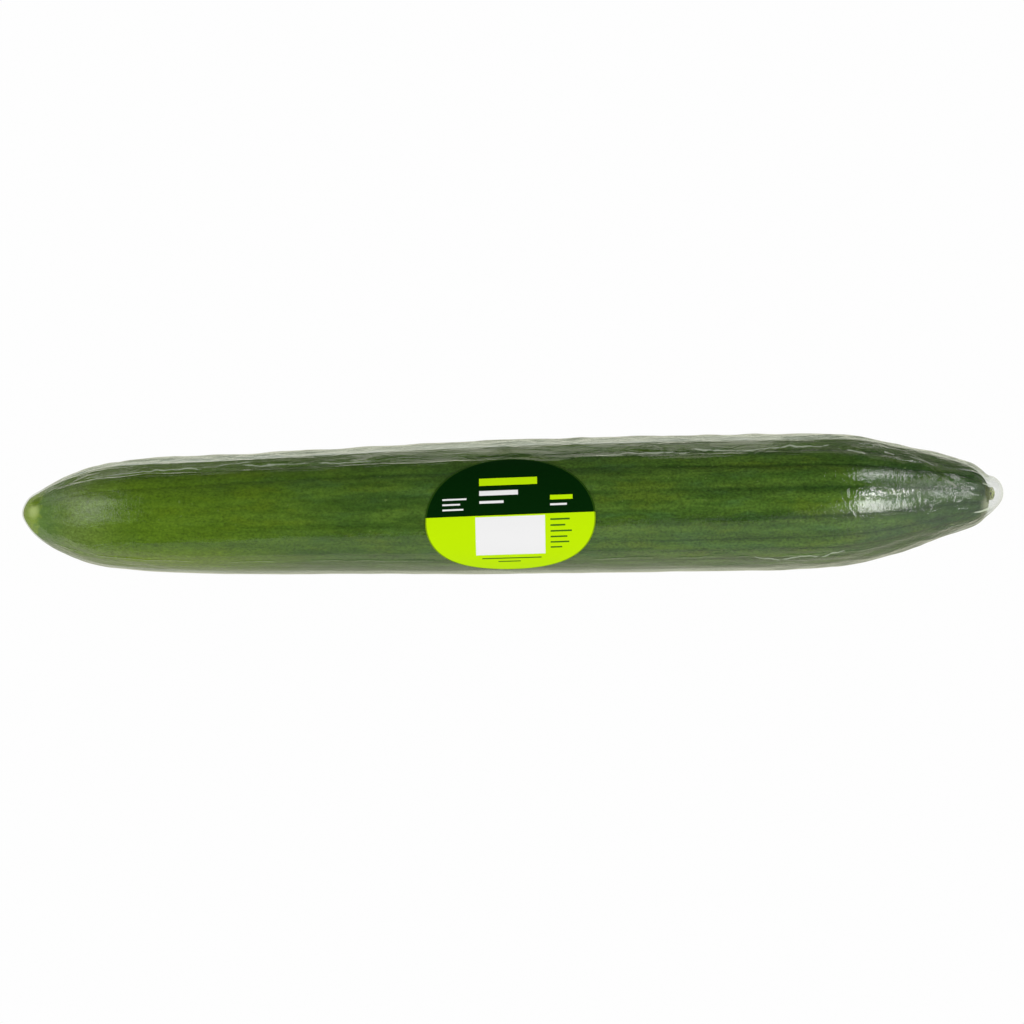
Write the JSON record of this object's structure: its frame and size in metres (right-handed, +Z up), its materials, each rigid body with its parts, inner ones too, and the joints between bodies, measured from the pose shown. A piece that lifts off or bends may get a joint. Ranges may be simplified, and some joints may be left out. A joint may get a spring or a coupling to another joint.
{
  "type": "wrapped cucumber",
  "caption": "Long ribbed cucumber lying on its side in a tight clear shrink-wrap film, with an oval sticker on the film.",
  "frame": {"origin": "centre of the bounding box's footprint, on the plane that the wrapped cucumber rests on", "axes": "+X along the cucumber towards its stem end, +Z up out of the resting plane, the sticker on the upper side"},
  "size_m": [0.312, 0.0448, 0.0437],
  "materials": {
    "skin": "smooth waxy green vegetable skin, semi-gloss",
    "film": "thin clear shrink film, glossy",
    "label": "glossy printed paper, dark green above and lime green below a straight line, with a white panel"
  },
  "bodies": {
    "root": {"cucumber": "skin", "film_wrap": "film", "label": "label"}
  },
  "joints": []
}
